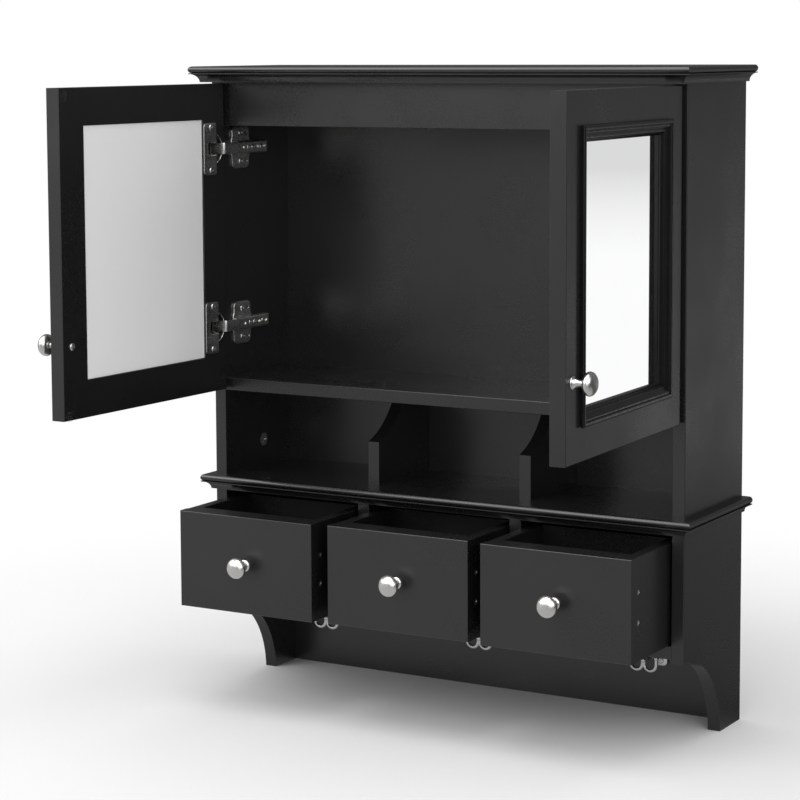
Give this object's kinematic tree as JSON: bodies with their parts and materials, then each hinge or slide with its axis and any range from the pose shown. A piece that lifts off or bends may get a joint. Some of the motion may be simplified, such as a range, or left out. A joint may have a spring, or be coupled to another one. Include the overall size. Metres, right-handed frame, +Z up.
{
  "type": "medicine cabinet",
  "caption": "Wall cabinet with mirrored doors over open cubbies, small drawers and a rail of robe hooks under a cove-moulded crown.",
  "frame": {"origin": "on the wall plane, at the middle of the back face of the upper hanging rail", "axes": "+X to the right along the wall, +Y into the wall, +Z up; the doors and drawers face -Y"},
  "size_m": [0.635, 0.4457, 0.705],
  "materials": {
    "black_board": "satin black paint on fibreboard",
    "gloss_moulding": "glossy black moulding",
    "mirror_glass": "silvered glass",
    "mirror_backing": "pale grey laminated board",
    "hinge_nickel": "bright nickel plate",
    "knob_nickel": "satin nickel",
    "hook_chrome": "polished chrome",
    "screw_steel": "zinc-plated steel",
    "bumper_clear": "clear soft plastic"
  },
  "bodies": {
    "cabinet": {"crown_board": "black_board", "crown_moulding": "black_board", "top_panel": "black_board", "top_rail": "black_board", "left_side_panel": "black_board", "right_side_panel": "black_board", "back_panel": "black_board", "hanging_rails": "black_board", "shelf": "black_board", "cubby_dividers": "black_board", "mid_board": "black_board", "mid_moulding": "black_board", "left_lower_side": "black_board", "right_lower_side": "black_board", "drawer_partitions": "black_board", "drawer_deck": "black_board", "lower_back_board": "black_board", "hinge_plates": "hinge_nickel", "hinge_arms": "hinge_nickel", "hinge_screws": "screw_steel", "cam_locks": "screw_steel", "cam_bolts": "screw_steel", "robe_hooks": "hook_chrome", "hook_screws": "screw_steel"},
    "left_door": {"left_door_frame": "black_board", "left_door_moulding": "gloss_moulding", "left_door_mirror": "mirror_glass", "left_door_backing": "mirror_backing", "left_door_hinge_cups": "hinge_nickel", "left_door_hinge_pins": "screw_steel", "left_door_screws": "screw_steel", "left_door_knob": "knob_nickel", "left_door_bumpers": "bumper_clear"},
    "right_door": {"right_door_frame": "black_board", "right_door_moulding": "gloss_moulding", "right_door_mirror": "mirror_glass", "right_door_backing": "mirror_backing", "right_door_hinge_cups": "hinge_nickel", "right_door_hinge_pins": "screw_steel", "right_door_screws": "screw_steel", "right_door_knob": "knob_nickel", "right_door_bumpers": "bumper_clear"},
    "left_drawer": {"left_drawer_front": "black_board", "left_drawer_sides": "black_board", "left_drawer_ends": "black_board", "left_drawer_bottom": "black_board", "left_drawer_knob": "knob_nickel", "left_drawer_screws": "screw_steel"},
    "middle_drawer": {"middle_drawer_front": "black_board", "middle_drawer_sides": "black_board", "middle_drawer_ends": "black_board", "middle_drawer_bottom": "black_board", "middle_drawer_knob": "knob_nickel", "middle_drawer_screws": "screw_steel"},
    "right_drawer": {"right_drawer_front": "black_board", "right_drawer_sides": "black_board", "right_drawer_ends": "black_board", "right_drawer_bottom": "black_board", "right_drawer_knob": "knob_nickel", "right_drawer_screws": "screw_steel"}
  },
  "joints": [
    {"name": "left_door_hinge", "type": "hinge", "parent": "cabinet", "child": "left_door", "pos_m": [-0.2782, -0.1688, -0.1427], "axis": [0, 0, 1], "range_deg": [-3, 92]},
    {"name": "right_door_hinge", "type": "hinge", "parent": "cabinet", "child": "right_door", "pos_m": [0.2782, -0.1688, -0.1427], "axis": [0, 0, -1], "range_deg": [-3, 92]},
    {"name": "left_drawer_slide", "type": "slide", "parent": "cabinet", "child": "left_drawer", "axis": [0, -1, 0], "range_m": [-0.095, 0.015]},
    {"name": "middle_drawer_slide", "type": "slide", "parent": "cabinet", "child": "middle_drawer", "axis": [0, -1, 0], "range_m": [-0.09, 0.02]},
    {"name": "right_drawer_slide", "type": "slide", "parent": "cabinet", "child": "right_drawer", "axis": [0, -1, 0], "range_m": [-0.095, 0.015]}
  ]
}
